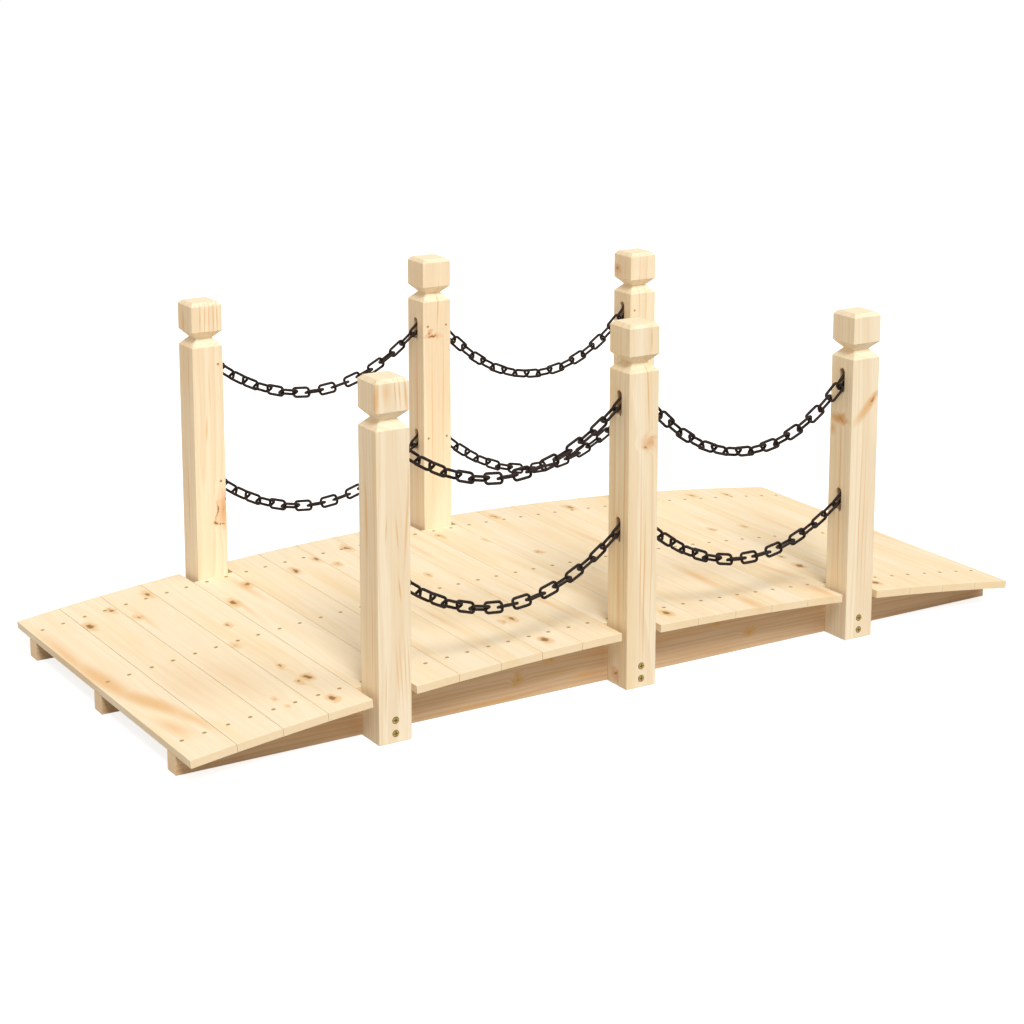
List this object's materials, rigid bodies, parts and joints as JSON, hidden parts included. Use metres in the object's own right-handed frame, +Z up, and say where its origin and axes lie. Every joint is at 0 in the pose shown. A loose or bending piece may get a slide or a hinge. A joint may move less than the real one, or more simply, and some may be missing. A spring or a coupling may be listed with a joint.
{
  "type": "arched garden footbridge",
  "caption": "Small arched wooden garden bridge: plank deck on bowed stringers, capped posts and rows of hanging chain along both sides.",
  "frame": {"origin": "on the ground under the middle of the bridge", "axes": "+X along the bridge to the right in the picture, +Y across it to the back, +Z up"},
  "size_m": [1.5048, 0.68, 0.5715],
  "materials": {
    "deck_spruce": "planed, unpainted",
    "post_spruce": "planed, unpainted",
    "stringer_spruce": "sawn, unpainted",
    "chain_steel": "dark brown-black coating",
    "pin_steel": "bright",
    "screw_brass": "yellow passivated"
  },
  "bodies": {
    "root": {"front_stringer": "stringer_spruce", "middle_stringer": "stringer_spruce", "back_stringer": "stringer_spruce", "deck_plank_01": "deck_spruce", "deck_plank_02": "deck_spruce", "deck_plank_03": "deck_spruce", "deck_plank_04": "deck_spruce", "deck_plank_05": "deck_spruce", "deck_plank_06": "deck_spruce", "deck_plank_07": "deck_spruce", "deck_plank_08": "deck_spruce", "deck_plank_09": "deck_spruce", "deck_plank_10": "deck_spruce", "deck_plank_11": "deck_spruce", "deck_plank_12": "deck_spruce", "deck_plank_13": "deck_spruce", "deck_plank_14": "deck_spruce", "deck_plank_15": "deck_spruce", "deck_plank_16": "deck_spruce", "deck_plank_17": "deck_spruce", "deck_plank_18": "deck_spruce", "deck_plank_19": "deck_spruce", "deck_plank_20": "deck_spruce", "deck_plank_21": "deck_spruce", "front_left_post": "post_spruce", "front_middle_post": "post_spruce", "front_right_post": "post_spruce", "back_left_post": "post_spruce", "back_middle_post": "post_spruce", "back_right_post": "post_spruce", "front_left_lower_chain": "chain_steel", "front_left_upper_chain": "chain_steel", "front_right_lower_chain": "chain_steel", "front_right_upper_chain": "chain_steel", "back_left_lower_chain": "chain_steel", "back_left_upper_chain": "chain_steel", "back_right_lower_chain": "chain_steel", "back_right_upper_chain": "chain_steel", "front_chain_pins": "pin_steel", "back_chain_pins": "pin_steel"}
  },
  "joints": []
}
